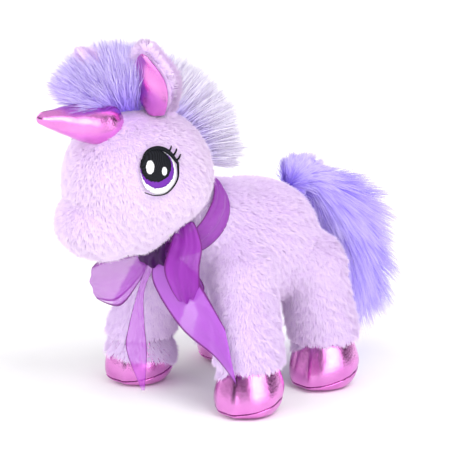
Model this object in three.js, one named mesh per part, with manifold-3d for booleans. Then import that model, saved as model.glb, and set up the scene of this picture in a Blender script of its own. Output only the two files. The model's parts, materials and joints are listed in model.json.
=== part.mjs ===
// A standing plush unicorn: pile-fabric covers over fibre stuffing, foil hooves, horn and ear
// linings, long-pile mane and tail, embroidered eyes and a sheer ribbon bow.
// Millimetres, +Z up, the unicorn faces -Y and its own left side is +X.
import * as THREE from 'three';
import { mergeVertices } from 'three/addons/utils/BufferGeometryUtils.js';
import Module from 'manifold-3d';

const wasm = await Module();
wasm.setup();

// ---------------------------------------------------------------- driving dimensions
const GAP = 0.35;            // space kept between two touching pieces
const FILL_GAP = 2.8;        // space between a cover and the stuffing in it
const SWING_GAP = 2.2;       // space kept between two covers that move past each other, under the pile
const COVER = 2.2;           // thickness of a fabric cover
const FOIL = 1.2;            // thickness of the padded foil of a hoof or the horn
const ROUND = 12;            // sides of a round section of a cover
const FILL_ROUND = 8;        // sides of a round section of stuffing

const TORSO = { at: [0, 11, 89.5], size: [46, 57, 43] };
const NECK = { at: [0, -36, 117.5], radius: 28.5 };
const NECK_CORE_RADIUS = 20;
const NECK_OPENING = 15;     // radius of the hole where the neck's stuffing meets the head
const HEAD_YAW = -10;        // the head looks a little to its own right
const TURN_RANGE = [-15, 15];
const NOD_RANGE = [-12, 8];

// Head shapes are measured from the neck pivot, in the head's own frame.
const SKULL = { at: [0, -39, 31], size: [46, 50, 48] };
const MUZZLE = { at: [0, -66, 8], size: [31, 31, 25] };
const HORN = { base: [0, -67, 71], tip: [0, -113, 82], radius: 13.2, tipRadius: 4.5, root: 14 };
const EAR = { at: [15, -36, 76], size: [13, 45], thickness: 5.2, turn: 14, range: [-15, 15] };
const EAR_SIDES = {
  left: { mirror: 1, spread: 10, lean: 18 },
  right: { mirror: -1, spread: 4, lean: 40 },
};
const EYE = { at: [43, -53, 48], size: [12.5, 15], tilt: -8 };
const EYE_LAYER = 0.5;       // thickness of one embroidered layer
const FORELOCK = { path: [[0, -28, 90], [0, -50, 106], [0, -76, 98], [0, -92, 86]], radii: [9, 16, 15, 5] };
const MANE = { path: [[0, -20, 88], [0, 10, 74], [0, 23, 56], [0, 27, 37]], radii: [10, 15, 14, 7] };

const LEG_COVER_FOOT = 31;   // height where the plush ends and the foil hoof begins
const HOOF_RADIUS = 21.5;
const SOLE_THICKNESS = 2;
const SOLE_INSET = 0.5;      // how far a sole lies inside its hoof's widest ring
const LEGS = {
  front_left: { hip: [30, -20, 82.5], foot: [48, -32], hipRadius: 26, ankle: 24, range: [-6, 10] },
  front_right: { hip: [-30, -20, 82.5], foot: [-48, -32], hipRadius: 26, ankle: 24, range: [-6, 10] },
  rear_left: { hip: [31, 40, 74.5], foot: [41, 41], hipRadius: 30, ankle: 24, range: [-10, 8] },
  rear_right: { hip: [-31, 40, 74.5], foot: [-41, 41], hipRadius: 30, ankle: 24, range: [-10, 8] },
};

const TAIL_ROOT = { at: [0, 58, 117], radius: 9 };
const TAIL_STEM = { path: [[0, 58, 117], [0, 67, 124], [0, 76, 128]], radii: [6, 5.5, 5] };
const TAIL = {
  path: [[0, 66, 126], [0, 86, 126], [0, 107, 102], [0, 114, 62], [0, 110, 24]],
  radii: [9, 19, 25, 23, 8],
  range: [-18, 18],
};

const RIBBON_WIDTH = 25;
const RIBBON_THICKNESS = 0.8;
const NECK_BAND = { radius: 30.5, thickness: 1.2, width: 13, tilt: 46 };
const KNOT = { at: [-1, -65, 90], size: [9, 7, 9] };

// ---------------------------------------------------------------- colours and finishes
const FINISH = {
  plush: { color: 0xe6cff7, roughness: 1.0, metalness: 0 },
  long_pile: { color: 0xc3b4f6, roughness: 0.95, metalness: 0 },
  foil: { color: 0xe493e6, roughness: 0.3, metalness: 0.8 },
  filling: { color: 0xf6f4ef, roughness: 1.0, metalness: 0 },
  ribbon: { color: 0xb463d2, roughness: 0.4, metalness: 0 },
  thread_white: { color: 0xf8f8f8, roughness: 0.6, metalness: 0 },
  thread_black: { color: 0x191e23, roughness: 0.6, metalness: 0 },
  thread_violet: { color: 0x8c46b9, roughness: 0.6, metalness: 0 },
};

const unicorn = new THREE.Group();

// ---------------------------------------------------------------- solids
function toSolid(geometry) {
  const bare = geometry.clone();
  bare.deleteAttribute('normal');
  bare.deleteAttribute('uv');
  const merged = mergeVertices(bare, 1e-4);
  return new wasm.Manifold(new wasm.Mesh({
    numProp: 3,
    vertProperties: new Float32Array(merged.attributes.position.array),
    triVerts: new Uint32Array(merged.index.array),
  }));
}

function toGeometry(solid) {
  const mesh = solid.getMesh();
  const geometry = new THREE.BufferGeometry();
  geometry.setAttribute('position', new THREE.BufferAttribute(new Float32Array(mesh.vertProperties), 3));
  geometry.setIndex(new THREE.BufferAttribute(new Uint32Array(mesh.triVerts), 1));
  geometry.computeVertexNormals();
  return geometry;
}

function addPiece(name, solid, finish) {
  const mesh = new THREE.Mesh(toGeometry(solid), new THREE.MeshStandardMaterial(FINISH[finish]));
  mesh.name = name;
  unicorn.add(mesh);
}

const union = (solids) => solids.reduce((all, next) => all.add(next));
const vector = (xyz) => new THREE.Vector3(...xyz);
const radians = THREE.MathUtils.degToRad;

function ellipsoid(at, size, grow = 0, sides = ROUND) {
  const geometry = new THREE.SphereGeometry(1, sides, Math.ceil(sides * 0.6));
  geometry.rotateX(Math.PI / 2);
  geometry.scale(size[0] + grow, size[1] + grow, size[2] + grow);
  geometry.translate(...at);
  return toSolid(geometry);
}

// A closed solid through rings of points, each end closed by a fan to the middle of its ring.
function loft(rings) {
  const sides = rings[0].length;
  const middle = (ring) => ring.reduce((sum, point) => sum.add(point), new THREE.Vector3()).divideScalar(sides);
  const points = [...rings.flat(), middle(rings[0]), middle(rings[rings.length - 1])];
  const faces = [];
  for (let i = 0; i < rings.length - 1; i += 1) {
    for (let j = 0; j < sides; j += 1) {
      const here = i * sides + j;
      const beside = i * sides + ((j + 1) % sides);
      faces.push(here, beside, here + sides, beside, beside + sides, here + sides);
    }
  }
  const start = rings.length * sides;
  const last = (rings.length - 1) * sides;
  for (let j = 0; j < sides; j += 1) {
    const next = (j + 1) % sides;
    faces.push(start, next, j);
    faces.push(start + 1, last + j, last + next);
  }
  const geometry = new THREE.BufferGeometry().setFromPoints(points);
  geometry.setIndex(faces);
  return toSolid(geometry);
}

// A ring of points round a centre, with semi-axes u and v; u x v points along the loft.
function ring(centre, u, v, sides = ROUND) {
  return Array.from({ length: sides }, (_, j) => {
    const angle = (2 * Math.PI * j) / sides;
    return centre.clone().addScaledVector(u, Math.cos(angle)).addScaledVector(v, Math.sin(angle));
  });
}

function lerpAlong(values, t) {
  const place = t * (values.length - 1);
  const low = Math.min(Math.floor(place), values.length - 2);
  return THREE.MathUtils.lerp(values[low], values[low + 1], place - low);
}

// A tapering hank of pile along a smooth path, with rounded ends.
function hank(path, radii, { wide = 1, steps = 8, sides = 12, grow = 0 } = {}) {
  const curve = new THREE.CatmullRomCurve3(path.map(vector));
  const across = new THREE.Vector3(1, 0, 0);
  const rings = [];
  for (let i = 0; i <= steps; i += 1) {
    const t = i / steps;
    const tangent = curve.getTangentAt(t);
    const up = tangent.clone().cross(across).normalize();
    const radius = lerpAlong(radii, t) + grow;
    rings.push(ring(curve.getPointAt(t), across.clone().multiplyScalar(radius * wide),
      up.multiplyScalar(radius), sides));
  }
  return loft(rings);
}

// A flat strip of ribbon: its middle line, and at each point the direction of its width.
function strip(path, widths, acrossStart, acrossEnd, steps = 12) {
  const curve = new THREE.CatmullRomCurve3(path.map(vector));
  const rings = [];
  for (let i = 0; i <= steps; i += 1) {
    const t = i / steps;
    const tangent = curve.getTangentAt(t);
    const across = vector(acrossStart).lerp(vector(acrossEnd), t);
    across.addScaledVector(tangent, -across.dot(tangent)).normalize();
    const normal = tangent.clone().cross(across).normalize();
    const half = across.multiplyScalar(lerpAlong(widths, t) / 2);
    const thick = normal.multiplyScalar(RIBBON_THICKNESS / 2);
    const centre = curve.getPointAt(t);
    rings.push([[1, 1], [-1, 1], [-1, -1], [1, -1]].map(([a, b]) =>
      centre.clone().addScaledVector(half, a).addScaledVector(thick, b)));
  }
  return loft(rings);
}

const moved = (solid, matrix) => solid.transform(matrix.elements);
const turnAbout = (pivot, axis, degrees) => new THREE.Matrix4().makeTranslation(...pivot)
  .multiply(new THREE.Matrix4().makeRotationAxis(vector(axis), radians(degrees)))
  .multiply(new THREE.Matrix4().makeTranslation(...pivot.map((value) => -value)));

// ---------------------------------------------------------------- head frame
const headFrame = new THREE.Matrix4().makeTranslation(...NECK.at)
  .multiply(new THREE.Matrix4().makeRotationZ(radians(HEAD_YAW)));
const onHead = (solid) => moved(solid, headFrame);
const headShape = (grow, sides) => ellipsoid(SKULL.at, SKULL.size, grow, sides)
  .add(ellipsoid(MUZZLE.at, MUZZLE.size, grow, sides));
const neckBall = (radius, sides) => ellipsoid(NECK.at, [radius, radius, radius], 0, sides);

// Every place the head reaches as it turns and nods.
function headSweep() {
  const places = [];
  const shape = onHead(headShape(SWING_GAP));
  const nodAxis = [Math.cos(radians(HEAD_YAW)), Math.sin(radians(HEAD_YAW)), 0];
  for (const turn of [TURN_RANGE[0], 0, TURN_RANGE[1]]) {
    for (const nod of [NOD_RANGE[0], 0, NOD_RANGE[1]]) {
      const nodded = moved(shape, turnAbout(NECK.at, nodAxis, nod));
      places.push(moved(nodded, turnAbout(NECK.at, [0, 0, 1], turn)));
    }
  }
  return union(places);
}

// ---------------------------------------------------------------- legs
// A leg is a rounded hip and a column that leans out to its foot, cut off level at a height.
// sway widens the column fore and aft, more the further it is below the hip, and below holds
// further [height, radius] rings straight under its foot, lowest first.
function legColumn({ hip, foot, hipRadius, ankle }, { bottom, grow, sway = 0, sides = ROUND, below = [] }) {
  const levels = 3;
  const rings = [];
  const addRing = (x, y, z, across, along) => rings.push(ring(new THREE.Vector3(x, y, z),
    new THREE.Vector3(across, 0, 0), new THREE.Vector3(0, along, 0), sides));
  for (const [height, radius] of below) {
    addRing(foot[0], foot[1], height, radius, radius);
  }
  for (let i = 0; i <= levels; i += 1) {
    const t = i / levels;
    const radius = THREE.MathUtils.lerp(ankle, hipRadius * 0.93, t ** 1.3) + grow;
    const lean = t ** 1.25;
    const z = THREE.MathUtils.lerp(bottom, hip[2], t);
    const reach = radius + (hip[2] - z) * Math.tan(radians(sway));
    addRing(THREE.MathUtils.lerp(foot[0], hip[0], lean), THREE.MathUtils.lerp(foot[1], hip[1], lean), z,
      radius, reach);
  }
  return loft(rings);
}

const hipBall = ({ hip, hipRadius }, grow, sides) => ellipsoid(hip, Array(3).fill(hipRadius), grow, sides);
const legShape = (leg, options) => legColumn(leg, options).add(hipBall(leg, options.grow, options.sides));

// The room a leg needs as it swings: its hip ball stays in place, its column sways.
function legRoom(leg) {
  const sway = Math.max(...leg.range.map(Math.abs));
  return legShape(leg, { bottom: LEG_COVER_FOOT - 2, grow: SWING_GAP, sway });
}

// A solid of revolution from [radius, height] points, standing at a place on the ground.
function latheAt(profile, [x, y]) {
  const geometry = new THREE.LatheGeometry(profile.map(([r, h]) => new THREE.Vector2(r, h)), ROUND);
  geometry.rotateX(Math.PI / 2);
  geometry.translate(x, y, 0);
  return toSolid(geometry);
}

function buildLeg(side, leg) {
  const foot = LEG_COVER_FOOT;
  const outer = legShape(leg, { bottom: foot, grow: 0 });
  const inner = legShape(leg, { bottom: foot, grow: -COVER, below: [[foot - 4, leg.ankle - COVER]] });
  addPiece(`leg_cover_${side}`, outer.subtract(inner), 'plush');

  const hoofFill = HOOF_RADIUS - FILL_GAP - GAP;
  const rest = SOLE_THICKNESS + GAP * 2;
  const below = [[rest, hoofFill - 2], [rest + 4, hoofFill], [foot - 2, hoofFill]];
  const stuffing = { bottom: foot + 3, grow: -COVER - FILL_GAP, sides: FILL_ROUND, below };
  addPiece(`leg_stuffing_${side}`, legShape(leg, stuffing), 'filling');

  const top = LEG_COVER_FOOT - GAP;
  const bottom = SOLE_THICKNESS + GAP;
  const belly = bottom + 4;        // height of the hoof's widest ring
  const toe = HOOF_RADIUS - 1.5;   // radius at the sole
  const inside = HOOF_RADIUS - FOIL;
  const hoof = latheAt([[toe - FOIL, bottom], [toe, bottom], [HOOF_RADIUS, belly], [HOOF_RADIUS, top - 6],
    [HOOF_RADIUS - 0.5, top], [inside - 0.5, top], [inside, belly], [toe - FOIL, bottom]], leg.foot);
  addPiece(`hoof_${side}`, hoof, 'foil');

  const soleRadius = HOOF_RADIUS - SOLE_INSET;
  const sole = latheAt([[0, 0], [soleRadius - 1, 0], [soleRadius, 1], [soleRadius, SOLE_THICKNESS],
    [0, SOLE_THICKNESS]], leg.foot);
  addPiece(`sole_${side}`, sole, 'foil');
}

// ---------------------------------------------------------------- body
function buildBody() {
  const outerShape = (grow, sides) => ellipsoid(TORSO.at, TORSO.size, grow, sides)
    .add(neckBall(NECK.radius + grow, sides));
  const room = union(Object.values(LEGS).map(legRoom));
  const neckRoom = neckBall(NECK_CORE_RADIUS + SWING_GAP, FILL_ROUND);
  const tailRoom = ellipsoid(TAIL_ROOT.at, Array(3).fill(TAIL_ROOT.radius + SWING_GAP));
  const neckAxis = vector(SKULL.at).normalize();
  const mouth = ellipsoid(vector(NECK.at).addScaledVector(neckAxis, NECK.radius).toArray(),
    Array(3).fill(NECK_OPENING));
  const cover = outerShape(0).subtract(outerShape(-COVER)).subtract(mouth);
  addPiece('body_cover', cover.subtract(room).subtract(tailRoom), 'plush');
  const filling = outerShape(-COVER - FILL_GAP, FILL_ROUND).subtract(neckRoom).subtract(mouth);
  addPiece('body_stuffing', filling.subtract(room).subtract(tailRoom), 'filling');
  addPiece('neck_stuffing', neckBall(NECK_CORE_RADIUS, FILL_ROUND), 'filling');
}

// ---------------------------------------------------------------- horn and ears
// The horn tapers from its root inside the head to a rounded tip; trim starts it further out.
function hornShape(grow, trim = 0, sides = 14) {
  const base = vector(HORN.base);
  const direction = vector(HORN.tip).sub(base);
  const length = direction.length();
  direction.normalize();
  const across = new THREE.Vector3(1, 0, 0);
  const up = across.clone().cross(direction).normalize();
  const steps = 6;
  const rings = [];
  for (let i = 0; i <= steps; i += 1) {
    const t = i / steps;
    const along = trim - HORN.root + t * (length + HORN.root - trim + grow);
    const plump = THREE.MathUtils.lerp(HORN.radius, HORN.tipRadius, t ** 1.15);
    const rounding = Math.sqrt(Math.max(0.02, 1 - Math.max(0, (t - 0.86) / 0.14) ** 2));
    const radius = Math.max(0.6, (plump + grow) * rounding);
    rings.push(ring(base.clone().addScaledVector(direction, along),
      across.clone().multiplyScalar(radius), up.clone().multiplyScalar(-radius), sides));
  }
  return loft(rings);
}

function earLeaf(frontOffset, thickness) {
  const [halfWidth, height] = EAR.size;
  const outline = new THREE.Shape();
  outline.moveTo(-halfWidth * 0.75, 2);
  outline.quadraticCurveTo(-halfWidth * 1.35, height * 0.45, 0, height);
  outline.quadraticCurveTo(halfWidth * 1.35, height * 0.45, halfWidth * 0.75, 2);
  outline.closePath();
  const geometry = new THREE.ExtrudeGeometry(outline, { depth: thickness, bevelEnabled: false, curveSegments: 8 });
  geometry.rotateX(Math.PI / 2);
  geometry.translate(0, frontOffset + thickness, 0);
  return toSolid(geometry);
}

// The rolled base that an ear bends about.
function earRoll(radius) {
  const geometry = new THREE.CylinderGeometry(radius, radius, EAR.size[0] * 1.5, 14);
  geometry.rotateZ(Math.PI / 2);
  return toSolid(geometry);
}

function earFrame({ mirror, spread, lean }) {
  const turned = new THREE.Euler(radians(lean), radians(spread * mirror), radians(EAR.turn * mirror), 'XYZ');
  return new THREE.Matrix4().makeTranslation(EAR.at[0] * mirror, EAR.at[1], EAR.at[2])
    .multiply(new THREE.Matrix4().makeRotationFromEuler(turned));
}

// Head-local place of one ear, bent to an angle about its base.
function earPlaced(solid, ear, bend = 0) {
  const matrix = earFrame(ear).multiply(new THREE.Matrix4().makeRotationX(radians(bend)));
  return moved(solid, matrix);
}

// Every place an ear reaches as it bends.
function earSweep(ear, grow) {
  const half = EAR.thickness / 2 + grow;
  const whole = earLeaf(-half, half * 2).add(earRoll(half));
  const [low, high] = EAR.range;
  const steps = 6;
  const bends = Array.from({ length: steps + 1 }, (_, i) => THREE.MathUtils.lerp(low, high, i / steps));
  return union(bends.map((bend) => earPlaced(whole, ear, bend)));
}

function buildEars() {
  const half = EAR.thickness / 2;
  for (const [side, ear] of Object.entries(EAR_SIDES)) {
    const lining = earLeaf(-half, half - GAP / 2);
    const back = earLeaf(GAP / 2, half - GAP / 2).add(earRoll(half).subtract(earLeaf(-half - 1, half + 1 + GAP / 2)));
    addPiece(`ear_lining_${side}`, onHead(earPlaced(lining, ear)), 'foil');
    addPiece(`ear_back_${side}`, onHead(earPlaced(back, ear)), 'plush');
  }
}

// ---------------------------------------------------------------- head
function buildHead() {
  const socket = ellipsoid([0, 0, 0], Array(3).fill(NECK.radius + SWING_GAP));
  const hornHole = hornShape(GAP);
  const earRoom = union(Object.values(EAR_SIDES).map((ear) => earSweep(ear, SWING_GAP)));
  const cover = headShape(0).subtract(headShape(-COVER)).subtract(socket).subtract(hornHole).subtract(earRoom);
  addPiece('head_cover', onHead(cover), 'plush');
  const filling = headShape(-COVER - FILL_GAP, FILL_ROUND).subtract(socket).subtract(hornHole).subtract(earRoom);
  addPiece('head_stuffing', onHead(filling), 'filling');
  addPiece('horn_cover', onHead(hornShape(0).subtract(hornShape(-FOIL, -1))), 'foil');
  addPiece('horn_stuffing', onHead(hornShape(-FOIL - FILL_GAP, 0.2, FILL_ROUND)), 'filling');

  const skullClear = headShape(GAP).add(hornHole).add(earRoom);
  const forelock = hank(FORELOCK.path, FORELOCK.radii, { wide: 1.25 }).subtract(skullClear);
  addPiece('forelock', onHead(forelock), 'long_pile');
  const mane = hank(MANE.path, MANE.radii).subtract(headShape(GAP)).subtract(earRoom)
    .subtract(hank(FORELOCK.path, FORELOCK.radii, { wide: 1.25, grow: GAP }));
  addPiece('mane_crest', onHead(mane), 'long_pile');
}

// ---------------------------------------------------------------- embroidered eyes
// Layers lie on the skull one over another: white, violet iris, black pupil, then glints and lashes.
function eyeShapes(mirror) {
  const [w, h] = EYE.size;
  const oval = (x, y, rx, ry) => {
    const shape = new THREE.Shape();
    shape.absellipse(x * mirror, y, rx, ry, 0, 2 * Math.PI);
    return shape;
  };
  const lashes = new THREE.Shape();
  lashes.moveTo(-w * 0.95 * mirror, h * 0.35);
  lashes.quadraticCurveTo(-w * 0.5 * mirror, h * 1.12, w * 0.2 * mirror, h * 1.02);
  const lashTips = [[0.75, 1.3, 0.55, 0.9], [1.1, 1.12, 0.78, 0.72], [1.4, 0.85, 0.95, 0.45]];
  for (const [tipX, tipY, rootX, rootY] of lashTips) {
    lashes.lineTo(w * tipX * mirror, h * tipY);
    lashes.lineTo(w * rootX * mirror, h * rootY);
  }
  lashes.lineTo(w * 0.8 * mirror, h * 0.35);
  lashes.quadraticCurveTo(-w * 0.1 * mirror, h * 1.15, -w * 0.95 * mirror, h * 0.35);
  return {
    eye_white: { shape: oval(0, 0, w, h), layer: 0, finish: 'thread_white' },
    eye_iris: { shape: oval(-w * 0.1, h * 0.06, w * 0.84, h * 0.86), layer: 1, finish: 'thread_violet' },
    eye_pupil: { shape: oval(-w * 0.16, h * 0.2, w * 0.72, h * 0.72), layer: 2, finish: 'thread_black' },
    eye_glint: { shape: oval(-w * 0.42, h * 0.12, w * 0.26, h * 0.32), layer: 3, finish: 'thread_white' },
    eye_lashes: { shape: lashes, layer: 3, finish: 'thread_black' },
  };
}

function buildEyes() {
  const centre = vector(SKULL.at);
  for (const [side, mirror] of [['left', 1], ['right', -1]]) {
    const at = vector([EYE.at[0] * mirror, EYE.at[1], EYE.at[2]]);
    const outward = at.clone().sub(centre).divide(vector(SKULL.size)).divide(vector(SKULL.size)).normalize();
    const up = new THREE.Vector3(0, 0, 1).addScaledVector(outward, -outward.z).normalize();
    const across = up.clone().cross(outward);
    const frame = new THREE.Matrix4().makeBasis(across, up, outward).setPosition(at)
      .multiply(new THREE.Matrix4().makeRotationZ(radians(EYE.tilt * mirror)));
    for (const [name, { shape, layer, finish }] of Object.entries(eyeShapes(mirror))) {
      const stamp = new THREE.ExtrudeGeometry(shape, { depth: 24, bevelEnabled: false, curveSegments: 7 });
      stamp.translate(0, 0, -12);
      const low = GAP + layer * (EYE_LAYER + GAP);
      const sheet = ellipsoid(SKULL.at, SKULL.size, low + EYE_LAYER).subtract(ellipsoid(SKULL.at, SKULL.size, low));
      addPiece(`${name}_${side}`, onHead(sheet.intersect(moved(toSolid(stamp), frame))), finish);
    }
  }
}

// ---------------------------------------------------------------- tail
function buildTail() {
  const root = ellipsoid(TAIL_ROOT.at, Array(3).fill(TAIL_ROOT.radius));
  addPiece('tail_root', root.add(hank(TAIL_STEM.path, TAIL_STEM.radii)), 'long_pile');
  const plume = hank(TAIL.path, TAIL.radii, { steps: 10 })
    .subtract(ellipsoid(TAIL_ROOT.at, Array(3).fill(TAIL_ROOT.radius + GAP)))
    .subtract(hank(TAIL_STEM.path, TAIL_STEM.radii, { grow: GAP * 3 }));
  const bodyRoom = union([-1, 0, 1].map((sign) => moved(ellipsoid(TORSO.at, TORSO.size, SWING_GAP),
    turnAbout(TAIL_ROOT.at, [0, 1, 0], sign * TAIL.range[1]))));
  addPiece('tail_plume', plume.subtract(bodyRoom), 'long_pile');
}

// ---------------------------------------------------------------- ribbon bow
function buildRibbon() {
  const { radius, thickness, width, tilt } = NECK_BAND;
  const outer = radius + thickness;
  const section = [[radius, -width], [outer, -width], [outer, 0], [radius, 0], [radius, -width]];
  const band = new THREE.LatheGeometry(section.map(([r, h]) => new THREE.Vector2(r, h)), 36);
  band.rotateX(Math.PI / 2);
  band.rotateX(radians(tilt));
  band.translate(...NECK.at);
  const headRoom = headSweep();
  const torso = ellipsoid(TORSO.at, TORSO.size, GAP);
  const room = union(Object.values(LEGS).map(legRoom));
  const knot = ellipsoid(KNOT.at, KNOT.size).subtract(headRoom).subtract(torso);
  const knotRoom = ellipsoid(KNOT.at, KNOT.size, GAP);
  addPiece('bow_knot', knot, 'ribbon');
  const worn = toSolid(band).subtract(headRoom).subtract(torso).subtract(room).subtract(knotRoom);
  addPiece('neck_ribbon', worn, 'ribbon');

  // A loop runs out from the knot, turns, and comes back in front of itself.
  const loop = (points, across) => strip(points,
    [RIBBON_WIDTH * 0.5, RIBBON_WIDTH, RIBBON_WIDTH, RIBBON_WIDTH, RIBBON_WIDTH * 0.5], across, across, 16)
    .subtract(knotRoom).subtract(headRoom).subtract(torso).subtract(room);
  addPiece('bow_loop_left', loop([[4, -62, 92], [15, -68, 94], [29, -74, 87], [16, -80, 86], [3, -71, 88]],
    [0.25, 0, 1]), 'ribbon');
  addPiece('bow_loop_right', loop([[-6, -62, 90], [-18, -69, 86], [-38, -76, 78], [-18, -82, 80], [-5, -71, 86]],
    [-0.25, 0, 1]), 'ribbon');

  const tail = (points, widths, start, end) => strip(points, widths, start, end)
    .subtract(knotRoom).subtract(torso).subtract(room);
  addPiece('ribbon_tail_left', tail([[1, -62, 79], [14, -62, 67], [36, -64, 50], [54, -62, 32]],
    [8, RIBBON_WIDTH, RIBBON_WIDTH, RIBBON_WIDTH], [0.8, 0, 0.5], [0.75, 0.25, 0.6]), 'ribbon');
  addPiece('ribbon_tail_right', tail([[-4, -63, 79], [-12, -66, 62], [-20, -70, 40], [-12, -70, 10]],
    [8, 14, 16, 14], [1, 0, 0], [0.9, -0.3, 0]), 'ribbon');
}

// ---------------------------------------------------------------- assembly
buildBody();
for (const [side, leg] of Object.entries(LEGS)) {
  buildLeg(side, leg);
}
buildHead();
buildEars();
buildEyes();
buildTail();
buildRibbon();

// The origin is the middle of the footprint of the whole object, on the ground.
const bounds = new THREE.Box3().setFromObject(unicorn);
const centre = bounds.getCenter(new THREE.Vector3());
unicorn.position.set(-centre.x, -centre.y, -bounds.min.z);
unicorn.name = 'plush_unicorn';

export default unicorn;
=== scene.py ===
"""A standing plush unicorn: pile fabric skins with modelled pile, foil hooves, horn and ear linings,
long-pile mane and tail, embroidered eyes and a sheer organza bow. Lengths are in millimetres until
a mesh is made."""

import json
import math

import bmesh
import bpy
import numpy as np
from mathutils import Matrix, Vector, kdtree
from mathutils.bvhtree import BVHTree

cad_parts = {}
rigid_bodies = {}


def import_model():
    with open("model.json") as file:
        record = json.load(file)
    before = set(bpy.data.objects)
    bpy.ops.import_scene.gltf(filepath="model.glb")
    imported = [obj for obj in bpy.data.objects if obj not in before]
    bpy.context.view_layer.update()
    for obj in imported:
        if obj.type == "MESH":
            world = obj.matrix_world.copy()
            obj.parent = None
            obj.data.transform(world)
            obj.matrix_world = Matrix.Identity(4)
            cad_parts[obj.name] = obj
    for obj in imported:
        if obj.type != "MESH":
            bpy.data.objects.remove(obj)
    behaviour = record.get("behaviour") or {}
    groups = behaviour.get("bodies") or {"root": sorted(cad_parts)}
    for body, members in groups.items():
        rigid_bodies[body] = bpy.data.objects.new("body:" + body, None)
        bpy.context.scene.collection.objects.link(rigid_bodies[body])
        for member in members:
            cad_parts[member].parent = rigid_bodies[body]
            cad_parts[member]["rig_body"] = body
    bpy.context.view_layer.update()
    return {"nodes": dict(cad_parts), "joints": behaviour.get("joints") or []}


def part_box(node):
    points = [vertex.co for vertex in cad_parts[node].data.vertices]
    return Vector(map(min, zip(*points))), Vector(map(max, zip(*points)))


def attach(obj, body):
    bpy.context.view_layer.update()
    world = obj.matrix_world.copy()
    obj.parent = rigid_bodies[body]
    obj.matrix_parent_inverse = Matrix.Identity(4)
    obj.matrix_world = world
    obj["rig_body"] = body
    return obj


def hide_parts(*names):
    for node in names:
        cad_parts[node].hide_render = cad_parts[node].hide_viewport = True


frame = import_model()

MM = 0.001
UV_NAME = "OFBake"  # the pile and ribbon materials read this map
SIDES = {"left": 1, "right": -1}
LEG_NAMES = ("front_left", "front_right", "rear_left", "rear_right")
JOINTS = {joint["name"]: joint for joint in frame["joints"]}


def joint_place(name):
    return np.array(JOINTS[name]["pos_m"]) / MM


def box_mm(node):
    low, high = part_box(node)
    return np.array(low) / MM, np.array(high) / MM


# ------------------------------------------------------------------ driving dimensions
NECK = joint_place("neck_turn")
NECK_RADIUS = 28.5
TORSO_SIZE = np.array([46, 57, 43.0])
TORSO_AT = np.array([0, box_mm("body_cover")[1][1] - TORSO_SIZE[1], 89.5])
HIP_RADIUS = {"front": 26, "rear": 28}
ANKLE_RADIUS = 24
LEG_FOOT = 31             # height where a leg's plush ends and its hoof begins
HOOF_SEAM = 9.0           # mean height of the seam between a hoof's upper and its sole
HOOF_SEAM_SLOPE = 5.3     # how much lower that seam lies at the toe, and higher at the heel
# How low each leg's plush reaches over its hoof: its height, how much lower it hangs on one side, and
# the bearing of that side in degrees from the unicorn's left.
HEMS = {"front_left": (34, 10, -135), "front_right": (20, 7, 45), "rear_left": (35, 11, -135),
        "rear_right": (13, 5, 45)}

# Places on the head are measured from the neck pivot, in the head's own frame.
HEAD_TURN = np.array(Matrix.Rotation(math.radians(-10), 3, "Z"))
SKULL_AT, SKULL_SIZE = np.array([0, -39, 31.0]), np.array([46, 50, 48.0])
MUZZLE_AT, MUZZLE_SIZE = np.array([0, -66, 8.0]), np.array([31, 31, 25.0])
HORN_BASE, HORN_TIP = np.array([0, -67, 71.0]), np.array([0, -113, 82.0])
HORN_RADIUS, HORN_TIP_RADIUS = 13.9, 3.0
EYE_AT = np.array([43, -51.5, 48.0])
EYE_SIZE = (13, 15.5)
EYE_TILT = -8
EAR_SIZE = (13.5, 46)     # half width and height
EAR_TURN = 20             # degrees that an ear faces outwards
EAR_LEAN = {"left": 18, "right": 40}
EAR_SPREAD = {"left": 10, "right": 4}
EAR_DROOP = {"left": 0, "right": 7}

PILE_INSET = 3.2          # how far the knitted backing lies inside the outer face of the pile
PILE_PER_SQUARE_MM = 3.2
PILE_WIDTH = 0.5
BODY_PILE, LEG_PILE, EAR_PILE = 4.6, 4.8, 5.6
BODY_LEAN, HEAD_LEAN, HEM_LEAN, EAR_PILE_LEAN = 58, 52, 60, 30

BOW_KNOT = np.array([2, -60, 101.0])
BAND_TILT = 48            # degrees that the neck ribbon's plane tips forward
BAND_OFFSET = np.array([0, -2, 5.0])
BAND_REACH = 30


def on_head(points):
    """Places given from the neck pivot in the head's own frame, as scene places."""
    return np.asarray(points, float) @ HEAD_TURN.T + NECK


def to_head(places):
    return (places - NECK) @ HEAD_TURN


# ------------------------------------------------------------------ colours and materials
def srgb(red, green, blue):
    """A colour given as it looks on a screen, 0 to 255, as the linear colour that a shader takes."""
    channels = [value / 255 for value in (red, green, blue)]
    return (*(c / 12.92 if c <= 0.04045 else ((c + 0.055) / 1.055) ** 2.4 for c in channels), 1)


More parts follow.
